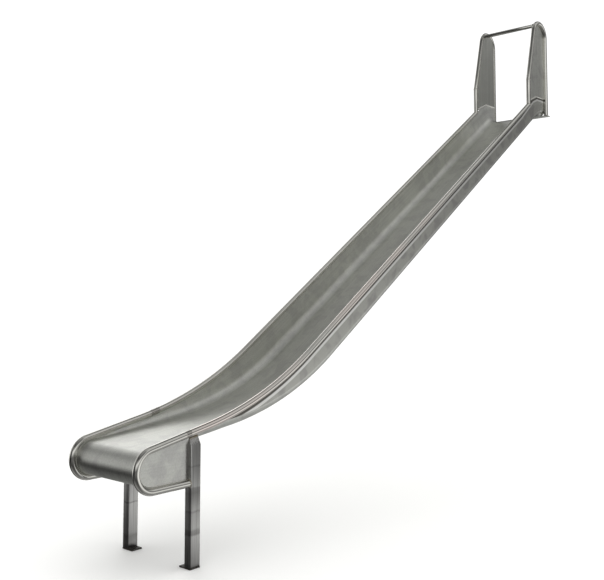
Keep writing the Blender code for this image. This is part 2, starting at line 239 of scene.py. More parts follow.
def cutAway(point, angle, clearAhead=True):    # cuts square to an angle of the side view
    bpy.ops.mesh.select_all(action="SELECT")
    bpy.ops.mesh.bisect(plane_co=(point[0], 0, point[1]), plane_no=toward(angle),
                        clear_outer=clearAhead, clear_inner=not clearAhead, use_fill=False)


# Bed and side walls, one folded sheet from the deck to the rolled front
chute = {
    "halfWidth": 0.2585, "flatHalf": 0.2554, "cove": 0.056, "coveSteps": 10, "bedCuts": 9,
    "startX": -0.008, "startRise": 0.170, "deckStep": 0.016, "flatAhead": 0.045,
    "slopeSteps": 12, "bendSteps": 28, "runoutSteps": 14, "crestSteps": 12,
    "railCover": 0.014, "lip": 0.020, "noseSteps": 28, "pathX": 0.05, "edgeSteps": 30,
    "edgeSpare": 0.05, "edgeEnd": (0.02, 0.1587),    # the edge line runs on past both ends of the sheet
    "shadowLineRise": 0.020, "slack": 0.0005,    # metres by which a point may be off the place it is picked at
}
edgeLine = ([shift(loopTop, lines["railRunout"], -chute["edgeSpare"])]
            + arcPoints(railCentre, lines["railBendRadius"], lines["railRunout"] - upright, lines["slope"] - upright,
                        chute["edgeSteps"])
            + [mitre, lines["beadStart"], lines["beadCorner"], lines["beadEnd"], chute["edgeEnd"]])


def heightToEdge(point, angle):    # distance from the bed to the line that the walls end on
    best = None
    nx, nz = -math.sin(angle), math.cos(angle)
    for (ax, az), (bx, bz) in zip(edgeLine, edgeLine[1:]):
        dx, dz = bx - ax, bz - az
        turn = nx * dz - nz * dx
        if abs(turn) < 1e-9:
            continue
        height = ((ax - point[0]) * dz - (az - point[1]) * dx) / turn
        share = ((ax - point[0]) * nz - (az - point[1]) * nx) / turn
        if -1e-6 <= share <= 1.000001 and height > 0 and (best is None or height < best):
            best = height
    return best


def alongBend(centre, radius, first, last, steps):    # stations of a bend, each a place and its angle
    angles = [first + (last - first) * i / steps for i in range(1, steps + 1)]
    return [(shift(centre, angle, 0, radius), angle) for angle in angles]


def alongLine(start, end, angle, steps):
    return [(between(start, end, i / steps), angle) for i in range(1, steps + 1)]


def makeChute():
    deck, slope, runout = lines["deck"], lines["slope"], lines["bedRunout"]
    rise, slack = chute["startRise"], chute["slack"]
    start = (chute["startX"], deckEnd[1] + (chute["startX"] - deckEnd[0]) * math.tan(deck))
    middle = (start[0], 0, start[1] + rise / 2)
    deselectAll()
    bpy.ops.mesh.primitive_plane_add(size=1, location=middle, rotation=(0, upright, 0))
    piece = nameIt("chute_sheet")
    editOn()
    scale(1, 2 * chute["halfWidth"], rise, middle)
    pick("EDGE", lambda co: co.z > middle[2])
    bpy.ops.mesh.delete(type="EDGE")
    pick("VERT", lambda co: co.z < middle[2])
    bpy.ops.mesh.bevel(offset=chute["cove"], segments=chute["coveSteps"], affect="VERTICES")
    flatEnd = chute["halfWidth"] - chute["cove"]
    pick("EDGE", lambda co: abs(co.y) < flatEnd + slack)
    bpy.ops.mesh.subdivide(number_cuts=chute["bedCuts"])
    bpy.ops.mesh.select_mode(type="EDGE")
    bpy.ops.mesh.select_all(action="SELECT")

    second = shift(deckEnd, deck, -chute["deckStep"])
    flatStart = shift(noseTop, runout, chute["flatAhead"])
    run(start, second)
    tilt(second, deck)
    run(second, crestHigh)
    bend(crestCentre, slope - deck, chute["crestSteps"])
    run(crestLow, bedHigh, chute["slopeSteps"])
    bend(bedCentre, runout - slope, chute["bendSteps"])
    run(bedLow, flatStart, chute["runoutSteps"])
    stations = ([(start, 0.0), (second, deck), (crestHigh, deck)]
                + alongBend(crestCentre, lines["crestRadius"], deck, slope, chute["crestSteps"])
                + alongLine(crestLow, bedHigh, slope, chute["slopeSteps"])
                + alongBend(bedCentre, -lines["bedBendRadius"], slope, runout, chute["bendSteps"])
                + alongLine(bedLow, flatStart, runout, chute["runoutSteps"]))

    # wall tops up to the rail or the bead, and the fold drawn in where the rail comes down to the bed
    for point, angle in stations:
        height = heightToEdge(point, angle)
        tangent, upward = toward(angle), toward(angle + upright)
        place = Vector((point[0], 0, point[1]))

        def here(co):
            return abs((co - place).dot(tangent)) < slack and abs((co - place).dot(upward)) < 2 * rise

        radius = min(chute["cove"], max(chute["halfWidth"] - chute["flatHalf"], height - chute["railCover"]))
        pick("VERT", lambda co: here(co) and (co - place).dot(upward) > rise - 2 * slack)
        move(upward.x * (height - rise), upward.z * (height - rise))
        if radius < chute["cove"]:
            for side in (-1, 1):
                corner = place + Vector((0, side * chute["halfWidth"], 0))
                pick("VERT", lambda co: here(co) and co.y * side > flatEnd - slack
                     and (co - place).dot(upward) < chute["cove"] + slack)
                share = radius / chute["cove"]
                scale(share, share, share, corner)

    # rolled front, from the flat of the bed alone
    tangent = toward(runout)
    pick("EDGE", lambda co: abs((co - Vector((flatStart[0], 0, flatStart[1]))).dot(tangent)) < slack
         and abs(co.y) < chute["flatHalf"] + slack and co.z < flatStart[1] + lines["sheet"])
    run(flatStart, noseTop, 2)
    bend(loopCentre, math.pi - runout, chute["noseSteps"])
    run(loopBottom, (loopBottom[0] + chute["lip"], loopBottom[1]))
    cleanUp(fill=False)
    bedUp = max(piece.data.polygons, key=lambda face: face.area).normal.z > 0
    modify(piece, "SOLIDIFY", thickness=lines["sheet"], offset=1 if bedUp else -1)
    return smooth(piece)


# Rails with the exit loops
rail = {"sides": 32, "slopeSteps": 12, "bendSteps": 28, "runoutSteps": 4, "loopSteps": 32, "intoLeg": 0.004,
        "spare": 0.04}    # length past the mitre, cut away there


def makeRail():
    before = shift(mitre, lines["slope"], rail["spare"])
    ring(before, lines["slope"], lines["railRadius"], rail["sides"], -lines["railY"])
    piece = nameIt("right_rail")
    editOn()
    run(before, railHigh, rail["slopeSteps"])
    bend(railCentre, lines["railRunout"] - lines["slope"], rail["bendSteps"])
    run(railLow, loopTop, rail["runoutSteps"])
    bend(loopCentre, math.pi - lines["railRunout"], rail["loopSteps"])
    run(loopBottom, (legFront + rail["intoLeg"], loopBottom[1]), 2)
    cutAway(mitre, (lines["slope"] + upright) / 2)
    cleanUp()
    return smooth(piece)


# Cheeks at the top
cheek = {"sides": 32, "bendSteps": 24, "uprightSteps": 2, "tubeSteps": 4, "spare": 0.05, "footZ": 0.0062}


def makeCheekFrame():
    below = (mitre[0], mitre[1] - cheek["spare"])
    ring(below, upright, lines["railRadius"], cheek["sides"], -lines["railY"])
    piece = nameIt("right_cheek_tube")
    editOn()
    run(below, kink, cheek["uprightSteps"])
    tilt(kink, (lean - upright) / 2)
    run(kink, topStart, cheek["tubeSteps"])
    tilt(topStart, (lean - upright) / 2)
    bend(topCentre, -upright - lean, cheek["bendSteps"])
    run((0, topCentre[1]), (0, cheek["footZ"]), cheek["tubeSteps"])
    cutAway(mitre, (lines["slope"] + upright) / 2, clearAhead=False)
    cleanUp()
    return smooth(piece)


cheekPlate = {"columns": 24, "beadRadius": 0.009, "beadSides": 20, "beadBend": 0.02, "beadSteps": 6,
              "beadBendSteps": 8}


def makeCheekPlate():    # runs between the tubes' axes, so that its edges are hidden in them
    bendTop = arcPoints(topCentre, lines["topBendRadius"], lean + upright, 0, cheekPlate["columns"])
    feet = [lines["beadStart"], lines["beadCorner"], lines["beadEnd"]]
    xs = sorted(set([kink[0], feet[1][0]] + [x for x, z in bendTop]))
    columns = [(x, onLine(feet, x), onLine([kink] + bendTop, x)) for x in xs]
    return makeSheet("right_cheek_sheet", columns)


def onLine(points, x):    # height at x on a line, which runs on straight past its ends
    for start, end in zip(points, points[1:]):
        if x <= end[0] or end is points[-1]:
            return start[1] + (end[1] - start[1]) * (x - start[0]) / max(end[0] - start[0], 1e-9)


def makeSheet(name, columns):    # upright sheet from columns of (x, foot, top), in the wall's plane
    x, foot, top = columns[0]
    deselectAll()
    bpy.ops.mesh.primitive_plane_add(size=1, location=(x, -lines["wallY"], (foot + top) / 2),
                                     rotation=(0, upright, 0))
    piece = nameIt(name)
    editOn()
    scale(1, 0, top - foot, (x, -lines["wallY"], (foot + top) / 2))
    bpy.ops.mesh.remove_doubles(threshold=joinWithin)
    bpy.ops.mesh.select_all(action="SELECT")
    for (lastX, lastFoot, lastTop), (x, foot, top) in zip(columns, columns[1:]):
        push(x - lastX, 0)
        middle = (lastFoot + lastTop) / 2
        scale(1, 1, (top - foot) / (lastTop - lastFoot), (x, 0, middle))
        move(0, (foot + top) / 2 - middle)
    cleanUp(fill=False)
    modify(piece, "SOLIDIFY", thickness=lines["sheet"], offset=0)
    return smooth(piece)


def makeBead():
    beadStart, beadCorner, beadEnd = lines["beadStart"], lines["beadCorner"], lines["beadEnd"]
    rise = math.atan2(beadCorner[1] - beadStart[1], beadCorner[0] - beadStart[0])
    level = math.atan2(beadEnd[1] - beadCorner[1], beadEnd[0] - beadCorner[0])
    ring(beadStart, rise, cheekPlate["beadRadius"], cheekPlate["beadSides"], -lines["wallY"])
    piece = nameIt("right_cheek_fold")
    editOn()
    before = shift(beadCorner, rise, -cheekPlate["beadBend"])
    after = shift(beadCorner, level, cheekPlate["beadBend"])
    radius = cheekPlate["beadBend"] / math.tan((rise - level) / 2)
    run(beadStart, before, cheekPlate["beadSteps"])
    bend(shift(before, rise, 0, -radius), level - rise, cheekPlate["beadBendSteps"])
    run(after, beadEnd, cheekPlate["beadSteps"])
    cleanUp()
    return smooth(piece)


loopPlate = {"columns": 26, "intoLeg": 0.002, "weldRadius": 0.0038, "weldInset": 0.0195, "weldSides": 12,
             "weldSteps": (3, 4), "weldBendSteps": 32}


def makeLoopPlate():
    first, last = math.pi, lines["railRunout"] + upright
    columns = []
    for i in range(1, loopPlate["columns"] + 1):
        polar = first + (last - first) * i / loopPlate["columns"]
        reach = lines["loopRadius"] * math.sin(polar)
        columns.append((loopCentre[0] + lines["loopRadius"] * math.cos(polar), loopCentre[1] - reach,
                        loopCentre[1] + reach))
    for x in (loopCentre[0], legFront + loopPlate["intoLeg"]):
        columns.append((x, loopBottom[1], onLine([loopTop, railLow], x)))
    return makeSheet("right_loop_sheet", sorted(columns))


def makeLoopWeld():    # ground weld between the plate and the tube, round the inside of the loop
    inner = lines["loopRadius"] - loopPlate["weldInset"]
    y = -lines["wallY"] - lines["sheet"] / 2
    top = lines["railRunout"] + upright
    start = (legFront - loopPlate["intoLeg"], loopCentre[1] - inner)
    ring(start, math.pi, loopPlate["weldRadius"], loopPlate["weldSides"], y)
    piece = nameIt("right_loop_weld")
    editOn()
    run(start, (loopCentre[0], start[1]), loopPlate["weldSteps"][0])
    bend(loopCentre, top - 3 * upright, loopPlate["weldBendSteps"])
    high = shift(loopCentre, top, inner)
    ahead = (legFront - high[0]) / math.cos(lines["railRunout"])
    run(high, shift(high, lines["railRunout"], ahead), loopPlate["weldSteps"][1])
    cleanUp()
    return smooth(piece)


# The ends are places across and radii, from a flared weld collar in to the bare tube
crossbar = {"sides": 32, "spot": math.radians(137.7),
            "ends": [(0.2630, 0.0195), (0.2560, 0.0200), (0.2510, 0.0195), (0.2480, 0.0180), (0.2465, 0.0170)]}
barPlace = shift(topCentre, crossbar["spot"], lines["topBendRadius"])


def makeCrossbar():    # a flared weld collar at each end
    ends = crossbar["ends"]
    steps = [(-y, radius) for y, radius in ends] + [(y, radius) for y, radius in reversed(ends)]
    deselectAll()
    bpy.ops.mesh.primitive_circle_add(vertices=crossbar["sides"], radius=steps[0][1],
                                      location=(barPlace[0], steps[0][0], barPlace[1]),
                                      rotation=(upright, 0, 0), fill_type="NOTHING")
    piece = nameIt("crossbar_tube")
    editOn()
    for (lastY, lastRadius), (y, radius) in zip(steps, steps[1:]):
        push(0, 0, y - lastY)
        scale(radius / lastRadius, 1, radius / lastRadius, (barPlace[0], y, barPlace[1]))
    cleanUp()
    return smooth(piece, 40)


leg = {"edge": 0.006, "edgeSteps": 4, "gable": 0.033, "foot": 0.008, "footReach": 0.038, "footEdge": 0.0015,
       "footWeld": 0.003, "footWeldEnds": 0.004, "sharp": math.radians(50)}    # sharper edges than this are rounded


def addBlock(name, low, high):
    deselectAll()
    bpy.ops.mesh.primitive_cube_add(size=1, location=[(a + b) / 2 for a, b in zip(low, high)],
                                    scale=[b - a for a, b in zip(low, high)])
    return nameIt(name)


def highest(node, x):    # height of a solid's highest corner at x
    corners = [vert.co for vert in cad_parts[node].data.vertices]
    return max(co.z for co in corners if abs(co.x - x) < 2 * chute["slack"])


def roundEdges(piece, width, steps=2):
    modify(piece, "BEVEL", width=width, segments=steps, limit_method="ANGLE", angle_limit=leg["sharp"])
    return smooth(piece, 35)


def makeLeg():
    ridges = [(x, highest("right_leg", x)) for x in (legFront, legBack)]
    shoulder = ridges[0][1] - leg["gable"]
    piece = addBlock("right_leg_post", (legFront, -legOuter, lines["footZ"] + leg["foot"]),
                     (legBack, -legInner, shoulder))
    editOn()
    bpy.ops.mesh.bisect(plane_co=(0, -lines["wallY"], 0), plane_no=(0, 1, 0))
    for x, ridge in ridges:
        pick("VERT", lambda co: abs(co.x - x) < chute["slack"] and abs(co.y + lines["wallY"]) < chute["slack"]
             and co.z > shoulder - chute["slack"])
        move(0, ridge - shoulder)
    editOff()
    return roundEdges(piece, leg["edge"], leg["edgeSteps"])


def makeFoot():    # plate with the welds that hold the leg
    top = lines["footZ"] + leg["foot"]
    plate = addBlock("right_foot", (legFront, -legOuter, lines["footZ"]),
                     (legBack, -legInner + leg["footReach"], top))
    roundEdges(plate, leg["footEdge"])
    start, end = (legFront + leg["footWeldEnds"], top), (legBack - leg["footWeldEnds"], top)
    return join([plate, makeWeldLine("outer_foot_weld", start, end, -legOuter + weld["sunk"], leg["footWeld"]),
                 makeWeldLine("inner_foot_weld", start, end, -legInner, leg["footWeld"])])


hook = {"thickness": 0.006, "front": -0.0193, "reach": 0.047, "edge": 0.0012}


def makeHook():    # flat strip that lies on the platform's edge
    half = lines["railY"] + lines["railRadius"]
    piece = addBlock("hook_strip", (hook["front"], -half, 0), (hook["reach"], half, hook["thickness"]))
    return roundEdges(piece, hook["edge"])


weld = {"bead": 0.0020, "sunk": 0.0010, "turns": 40, "sides": 10, "steps": 6, "fillet": 0.0035, "footBead": 0.0022,
        "footZ": 0.0065, "ridgeBead": 0.0042, "ridgeEnds": 0.006}


def makeWeldRing(name, place, facing, bendAngle, bead, sunk):    # round a tube, oval where the tube is mitred
    deselectAll()
    bpy.ops.mesh.primitive_torus_add(location=(place[0], -lines["railY"], place[1]),
                                     rotation=(0, upright - facing, 0),
                                     major_radius=lines["railRadius"] - sunk, minor_radius=bead,
                                     major_segments=weld["turns"], minor_segments=weld["sides"])
    bpy.context.active_object.scale = (1 / math.cos(bendAngle / 2), 1, 1)
    return smooth(nameIt(name))


def makeWeldLine(name, start, end, y, bead):
    ring(start, math.atan2(end[1] - start[1], end[0] - start[0]), bead, weld["sides"], y)
    piece = nameIt(name)
    editOn()
    run(start, end, weld["steps"])
    cleanUp()
    return smooth(piece)


def makeWelds():
    (frontX, frontZ), (backX, backZ) = [(x, highest("right_leg", x) - weld["sunk"]) for x in (legFront, legBack)]
    seams = [
        makeWeldRing("mitre_weld", mitre, (lines["slope"] + upright) / 2, upright - lines["slope"],
                     weld["bead"], weld["sunk"]),
        makeWeldRing("kink_weld", kink, (lean + upright) / 2, upright - lean, weld["bead"], weld["sunk"]),
        makeWeldRing("leg_weld", (legFront - weld["sunk"], loopBottom[1]), 0, 0, weld["fillet"], 0),
        makeWeldRing("upright_foot_weld", (0, weld["footZ"]), upright, 0, weld["footBead"], 0),
        makeWeldLine("ridge_weld", (frontX + weld["ridgeEnds"], frontZ), (backX - weld["ridgeEnds"], backZ),
                     -lines["wallY"], weld["ridgeBead"]),
    ]
    piece = join(seams)
    piece.name = piece.data.name = "right_welds"
    return piece


# Grain: each point of a piece learns how far along, across and off its path it lies, and which way the path runs
def layGrain(piece, path=None, axes=(0, 1, 2), label="grain"):
    count = len(piece.data.vertices)
    places = np.empty(count * 3)
    piece.data.vertices.foreach_get("co", places)
    places = places.reshape(count, 3)
    if path is None:
        grain = places[:, axes]
        way = np.zeros((count, 3))
        way[:, axes[0]] = 1
    else:
        line = np.array(path)
        starts, steps = line[:-1], np.diff(line, axis=0)
        lengths = np.linalg.norm(steps, axis=1)
        before = np.concatenate([[0], np.cumsum(lengths)[:-1]])
        steps = steps / lengths[:, None]
        flat = places[:, [0, 2]][:, None, :] - starts[None]
        along = (flat * steps).sum(2)
        away = np.linalg.norm(flat - np.clip(along, 0, lengths)[..., None] * steps, axis=2)
        nearest, rows = away.argmin(1), np.arange(count)
        step, gap = steps[nearest], flat[rows, nearest]
        side = np.sign(step[:, 0] * gap[:, 1] - step[:, 1] * gap[:, 0])
        grain = np.stack([before[nearest] + along[rows, nearest], places[:, 1], side * away[rows, nearest]], axis=1)
        way = np.stack([step[:, 0], np.zeros(count), step[:, 1]], axis=1)
    for name, values in {label: grain, "grainWay": way}.items():
        if name not in piece.data.attributes:
            attribute = piece.data.attributes.new(name, "FLOAT_VECTOR", "POINT")
            attribute.data.foreach_set("vector", values.ravel())


# Paths that the brush lines follow
railPath = ([mitre] + arcPoints(railCentre, lines["railBendRadius"], lines["slope"] - upright,
                                lines["railRunout"] - upright, 24)
            + arcPoints(loopCentre, lines["loopRadius"], lines["railRunout"] + upright, 3 * upright, 24)
            + [(legFront, loopBottom[1])])
bedPath = ([(chute["pathX"], deckEnd[1] + (chute["pathX"] - deckEnd[0]) * math.tan(lines["deck"]))]
           + arcPoints(crestCentre, lines["crestRadius"], lines["deck"] + upright, lines["slope"] + upright, 8)
           + arcPoints(bedCentre, lines["bedBendRadius"], lines["slope"] - upright, lines["bedRunout"] - upright, 24)
           + arcPoints(loopCentre, noseRadius, lines["bedRunout"] + upright, 3 * upright, 24))
cheekPath = [mitre, kink] + arcPoints(topCentre, lines["topBendRadius"], lean + upright, 0, 20) + [(0, 0)]

pieces = {"chute": makeChute()}
layGrain(pieces["chute"], bedPath)
# the painted shadow line under the rail runs this much closer under the cheeks' folds, which are slimmer than the
# rails
raisedFold = [(x, z + chute["shadowLineRise"]) for x, z in (lines["beadEnd"], lines["beadCorner"], lines["beadStart"])]
layGrain(pieces["chute"], raisedFold + railPath, label="edge")
print("chute made")

makers = {    # each with the path or the axes that its grain follows
    "rail": (makeRail, railPath), "cheekTube": (makeCheekFrame, cheekPath),
    "cheekPlate": (makeCheekPlate, None, (2, 1, 0)), "bead": (makeBead,), "loopPlate": (makeLoopPlate,),
    "loopWeld": (makeLoopWeld,), "leg": (makeLeg, None, (2, 1, 0)), "foot": (makeFoot,), "welds": (makeWelds,),
}
for kind, (maker, *grain) in makers.items():
    right = pieces["right " + kind] = maker()
    left = pieces["left " + kind] = copyAcross(right, right.name.replace("right", "left"))
    for piece in (right, left):
        layGrain(piece, *grain)
print("tubes, plates and legs made")

pieces["crossbar"] = makeCrossbar()
layGrain(pieces["crossbar"], None, (1, 0, 2))
pieces["hook"] = makeHook()
layGrain(pieces["hook"], None, (1, 0, 2))
print("crossbar and hook made")


def toLinear(hexColour):
    parts = [int(hexColour[i:i + 2], 16) / 255 for i in (1, 3, 5)]
    return tuple(p / 12.92 if p <= 0.04045 else ((p + 0.055) / 1.055) ** 2.4 for p in parts) + (1.0,)


# Adds a node. Its inputs go by name or number and are values, hex colours, sockets or nodes, where a node stands
# for its first output in use.
def addNode(tree, kind, inputs=None, stops=None, **settings):
    made = tree.nodes.new("ShaderNode" + kind)
    for setting, value in settings.items():
        setattr(made, setting, value)
    for socket, value in (inputs or {}).items():
        if isinstance(value, bpy.types.Node):
            value = next(output for output in value.outputs if output.enabled)
        if isinstance(value, bpy.types.NodeSocket):
            tree.links.new(value, made.inputs[socket])
        else:
            made.inputs[socket].default_value = toLinear(value) if isinstance(value, str) else value
    if stops:
        marks = made.color_ramp.elements
        while len(marks) < len(stops):
            marks.new(1.0)
        for mark, (place, shade) in zip(marks, stops):
            mark.position = place
            mark.color = (shade, shade, shade, 1)
    return made


# Gives the material, its tree and the place in the piece. A look's stretch says how far the brush lines smear
# what the steel mirrors.
def newMaterial(name, look, across=False):
    material = bpy.data.materials.new(name)
    material.use_nodes = True
    tree = material.node_tree
    shader = tree.nodes["Principled BSDF"]
    shader.inputs["Metallic"].default_value = look.get("metallic", 1.0)
    if "stretch" in look:
        way = addNode(tree, "Attribute", attribute_name="grainWay").outputs["Vector"]
        tree.links.new(way, shader.inputs["Tangent"])
        shader.inputs["Anisotropic"].default_value = look["stretch"]
        shader.inputs["Anisotropic Rotation"].default_value = 0.25 if across else 0.0
    return material, tree, addNode(tree, "TexCoord").outputs["Object"]


noiseRange = {"From Min": 0.3, "From Max": 0.7}    # where most of a noise pattern lies


def finishMetal(material, look, colour, relief, uneven=None):    # roughness is even, or follows an uneven pattern
    tree = material.node_tree
    shader = tree.nodes["Principled BSDF"]
    tree.links.new(colour.outputs[2], shader.inputs["Base Color"])
    tree.links.new(relief.outputs[0], shader.inputs["Normal"])
    if uneven:
        low, high = look["roughness"]
        rough = addNode(tree, "MapRange", {0: uneven, **noiseRange, "To Min": low, "To Max": high})
        tree.links.new(rough.outputs[0], shader.inputs["Roughness"])
    else:
        shader.inputs["Roughness"].default_value = look["roughness"]
    return material


# Stainless steel sheet, brushed along its length with a 180 grit belt: a grey with a faint green cast, soft
# lengthwise streaks and a fine speckle of scuffs from use. The outer sides keep cloudy patches from handling and
# weather. On the chute's outer sides shade is painted in: darker towards their lower edge, a painted shadow line
# close under the rail and a painted highlight band below it.
brushedSheet = {
    "dark": "#CECFC8", "light": "#E4E5DF", "tone": {"From Min": 0.7, "From Max": 1.3},
    "line": (0.08, 0.0012, 0.0012),    # metres along, across and off the path; real lines are 0.1 mm apart
    "streak": (0.9, 0.011, 0.011), "speckle": 0.007,
    "cloud": "#9C979D", "cloudSize": 0.10, "clouding": {"From Min": 0.47, "From Max": 0.62},
    "insideShare": 0.2, "plateShare": 0.25,
    "outer": 0.2606, "outerBlend": 0.0006,    # metres off the middle where the outer sides start
    # painted shade: the chute's outer walls get darker towards their lower edge
    "edge": "#B4B4AD", "lowShadeDepth": 0.10, "lowShadeShare": 0.7,
    # painted shadow in the crevice close under the rail, and a painted highlight band below it
    "underRailHighlight": "#F6F6F2", "underRailHighlightDepth": 0.058, "creviceShadow": "#6A6862", "creviceShadowDepth": 0.041,
    "bandBlend": 0.003,    # depths are metres under the rail's axis
    "roughness": (0.33, 0.41), "stretch": 0.82,
    "relief": {"Strength": 0.10, "Distance": 0.0003}, "waves": {"Strength": 0.15, "Distance": 0.004},
}


def makeBrushedSheet(name, weatheredAndShaded):
    look = brushedSheet
    material, tree, place = newMaterial(name, look, across=True)
    grain = addNode(tree, "Attribute", attribute_name="grain").outputs["Vector"]
    lineSpace = addNode(tree, "VectorMath", {0: grain, 1: look["line"]}, operation="DIVIDE")
    brush = addNode(tree, "TexNoise", {0: lineSpace, "Scale": 1.0, "Detail": 2.0})
    streakSpace = addNode(tree, "VectorMath", {0: grain, 1: look["streak"]}, operation="DIVIDE")
    streak = addNode(tree, "TexNoise", {0: streakSpace, "Scale": 1.0, "Detail": 3.0})
    speckle = addNode(tree, "TexNoise", {0: place, "Scale": 1 / look["speckle"], "Detail": 2.0})
    cloud = addNode(tree, "TexNoise", {0: place, "Scale": 1 / look["cloudSize"], "Detail": 3.0, "Distortion": 0.6})

    tone = addNode(tree, "Math", {0: streak, 1: speckle}, operation="ADD")
    tone = addNode(tree, "MapRange", {0: tone, **look["tone"]})
    base = addNode(tree, "Mix", {0: tone, 6: look["dark"], 7: look["light"]}, data_type="RGBA")
    across = addNode(tree, "SeparateXYZ", {0: place}).outputs["Y"]
    across = addNode(tree, "Math", {0: across}, operation="ABSOLUTE")
    outer = addNode(tree, "MapRange", {0: across, "From Min": look["outer"] - look["outerBlend"],
                                       "From Max": look["outer"]})
    patch = addNode(tree, "MapRange", {0: cloud, **look["clouding"],
                                       "To Max": 1.0 if weatheredAndShaded else look["plateShare"]})
    share = addNode(tree, "MapRange", {0: outer, "To Min": look["insideShare"]})
    patch = addNode(tree, "Math", {0: patch, 1: share}, operation="MULTIPLY")
    colour = addNode(tree, "Mix", {0: patch, 6: base, 7: look["cloud"]}, data_type="RGBA")
    if weatheredAndShaded:
        # painted shade: the chute's outer walls get darker towards their lower edge
        height = addNode(tree, "SeparateXYZ", {0: grain}).outputs["Z"]
        low = addNode(tree, "MapRange", {0: height, "From Min": look["lowShadeDepth"], "From Max": 0.0,
                                         "To Max": look["lowShadeShare"]})
        low = addNode(tree, "Math", {0: low, 1: outer}, operation="MULTIPLY")
        colour = addNode(tree, "Mix", {0: low, 6: colour, 7: look["edge"]}, data_type="RGBA")
        # painted shadow in the crevice close under the rail, and a painted highlight band below it
        edge = addNode(tree, "Attribute", attribute_name="edge").outputs["Vector"]
        under = addNode(tree, "SeparateXYZ", {0: edge}).outputs["Z"]
        under = addNode(tree, "Math", {0: under}, operation="ABSOLUTE")
        for shade, depth in (("underRailHighlight", look["underRailHighlightDepth"]), ("creviceShadow", look["creviceShadowDepth"])):
            near = addNode(tree, "MapRange", {0: under, "From Min": depth + look["bandBlend"],
                                              "From Max": depth - look["bandBlend"]})
            near = addNode(tree, "Math", {0: near, 1: outer}, operation="MULTIPLY")
            colour = addNode(tree, "Mix", {0: near, 6: colour, 7: look[shade]}, data_type="RGBA")
    bump = addNode(tree, "Bump", {"Height": brush, **look["relief"]})
    wave = addNode(tree, "Bump", {"Height": cloud, **look["waves"], "Normal": bump})
    return finishMetal(material, look, colour, wave, streak)


# Stainless steel tube, polished to a satin: bright and smooth with faint rings from the belt, a painted warm
# reflection in patches on the lower part of the near rail, and a short hatched band on each rail where a butt weld was
# ground flat.
satinTube = {
    "dark": "#C9C8C1", "light": "#E2E1DB", "cloudsPerMetre": 14.0,
    "line": (0.0015, 1 / 60, 1 / 60),    # belt rings, drawn much coarser than the real 0.1 mm
    # painted reflection: the warm cast of the near rail's highlights, in patches on its lower part
    "warmReflection": "#E2DAD3", "warmSize": 0.5, "warmth": {"From Min": 0.40, "From Max": 0.55},
    "warmFrom": -1.6, "warmBlend": 0.8,
    "ground": "#77736E", "hatch": 0.007, "hatchLean": math.radians(25), "bandFloor": -2.46,
    "bands": [(-1, -4.3705, 0.0165), (1, -4.160, 0.030)],    # side, middle and half length along X
    "roughness": (0.08, 0.13), "stretch": 0.3, "relief": {"Strength": 0.10, "Distance": 0.0003},
}


def makeSatinTube():
    look = satinTube
    material, tree, place = newMaterial("stainless_tube_satin", look)
    grain = addNode(tree, "Attribute", attribute_name="grain").outputs["Vector"]
    lineSpace = addNode(tree, "VectorMath", {0: grain, 1: look["line"]}, operation="DIVIDE")
    brush = addNode(tree, "TexNoise", {0: lineSpace, "Scale": 1.0, "Detail": 2.0})
    soft = addNode(tree, "TexNoise", {0: grain, "Scale": look["cloudsPerMetre"], "Detail": 3.0})
    base = addNode(tree, "Mix", {0: soft, 6: look["dark"], 7: look["light"]}, data_type="RGBA")
    # painted reflection: warm patches on the lower part of the near rail
    reflectionTint = addNode(tree, "TexNoise", {0: place, "Scale": 1 / look["warmSize"], "Detail": 1.0})
    reflectionTint = addNode(tree, "MapRange", {0: reflectionTint, **look["warmth"]})
    axes = addNode(tree, "SeparateXYZ", {0: place}).outputs
    lower = addNode(tree, "MapRange", {0: axes["X"], "From Min": look["warmFrom"],
                                       "From Max": look["warmFrom"] - look["warmBlend"]})
    lower = addNode(tree, "Math", {0: lower, 1: reflectionTint}, operation="MULTIPLY")
    near = addNode(tree, "Math", {0: axes["Y"], 1: 0.0}, operation="LESS_THAN")
    lower = addNode(tree, "Math", {0: lower, 1: near}, operation="MULTIPLY")
    colour = addNode(tree, "Mix", {0: lower, 6: base, 7: look["warmReflection"]}, data_type="RGBA")
    above = addNode(tree, "Math", {0: axes["Z"], 1: look["bandFloor"]}, operation="GREATER_THAN")
    turned = addNode(tree, "Mapping", {0: place, "Rotation": (0, look["hatchLean"], 0)})
    hatch = addNode(tree, "TexWave", {0: turned, "Scale": 0.314 / look["hatch"], "Distortion": 1.5}).outputs["Fac"]
    hatch = addNode(tree, "Math", {0: hatch, 1: above}, operation="MULTIPLY")
    for side, middle, half in look["bands"]:
        onSide = addNode(tree, "Math", {0: axes["Y"], 1: side * lines["railY"], 2: 0.1}, operation="COMPARE")
        inBand = addNode(tree, "Math", {0: axes["X"], 1: middle, 2: half}, operation="COMPARE")
        mark = addNode(tree, "Math", {0: onSide, 1: inBand}, operation="MULTIPLY")
        mark = addNode(tree, "Math", {0: mark, 1: hatch}, operation="MULTIPLY")
        colour = addNode(tree, "Mix", {0: mark, 6: colour, 7: look["ground"]}, data_type="RGBA")
    bump = addNode(tree, "Bump", {"Height": brush, **look["relief"]})
    return finishMetal(material, look, colour, bump, soft)


